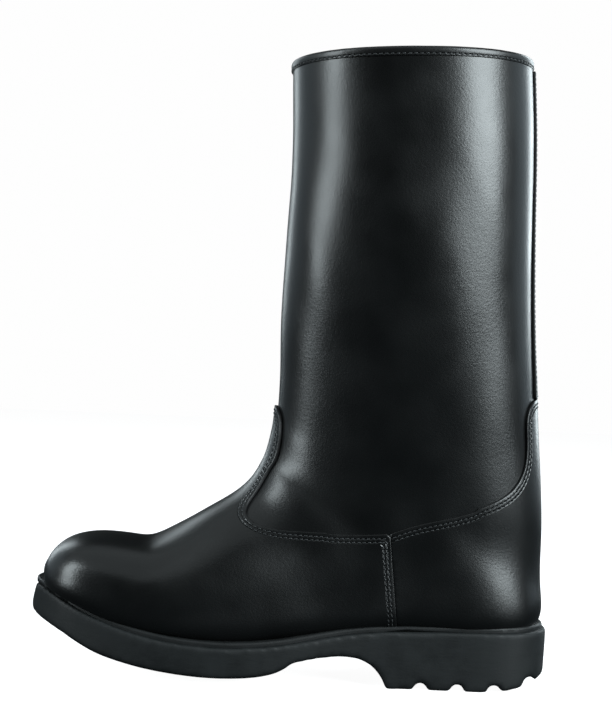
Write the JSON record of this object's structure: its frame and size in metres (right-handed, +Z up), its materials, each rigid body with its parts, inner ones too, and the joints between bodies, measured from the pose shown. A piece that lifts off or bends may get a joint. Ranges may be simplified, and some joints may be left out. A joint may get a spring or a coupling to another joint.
{
  "type": "firefighter boot",
  "caption": "Tall pull-on leather fire boot for the left foot, with steel toe cap, thick rubber sole and heel, and hinged webbing pull loops inside the collar.",
  "frame": {"origin": "on the floor under the middle of the sole's length and of the boot's width", "axes": "+Z up, -X to the toe, +X to the heel, -Y to the outer (little toe) side"},
  "size_m": [0.3051, 0.1168, 0.3674],
  "materials": {
    "upper_leather": "smooth, polished",
    "binding_leather": "smooth, satin",
    "lining_leather": "matte",
    "rubber": "matte",
    "midsole_rubber": "matte",
    "welt_strip": "satin",
    "foam": "matte",
    "filler_felt": "matte",
    "spring_steel": "satin",
    "plate_steel": "satin",
    "cap_steel": "satin",
    "soft_strip": "matte",
    "interlining_felt": "matte",
    "stiffener_board": "matte",
    "fibre_board": "matte",
    "footbed_felt": "matte",
    "webbing": "matte, woven"
  },
  "bodies": {
    "boot": {"outsole": "rubber", "heel_core": "foam", "midsole": "midsole_rubber", "welt": "welt_strip", "bottom_filler": "filler_felt", "shank": "spring_steel", "puncture_plate": "plate_steel", "insole_board": "fibre_board", "footbed": "footbed_felt", "toe_cap": "cap_steel", "toe_cap_edge_strip": "soft_strip", "vamp_interlining": "interlining_felt", "heel_stiffener": "stiffener_board", "vamp": "upper_leather", "counter_cover": "upper_leather", "shaft": "upper_leather", "backstay": "upper_leather", "collar_binding": "binding_leather", "vamp_lining": "lining_leather", "heel_lining": "lining_leather", "shaft_lining": "lining_leather", "pull_loop_anchor_outer": "webbing", "pull_loop_anchor_inner": "webbing"},
    "outer_loop": {"pull_loop_outer": "webbing"},
    "inner_loop": {"pull_loop_inner": "webbing"}
  },
  "joints": [
    {"name": "pull_loop_outer_hinge", "type": "hinge", "parent": "boot", "child": "outer_loop", "pos_m": [0.06, -0.049, 0.349], "axis": [1, 0, 0], "range_deg": [0, 155]},
    {"name": "pull_loop_inner_hinge", "type": "hinge", "parent": "boot", "child": "inner_loop", "pos_m": [0.06, 0.049, 0.349], "axis": [-1, 0, 0], "range_deg": [0, 155]}
  ]
}
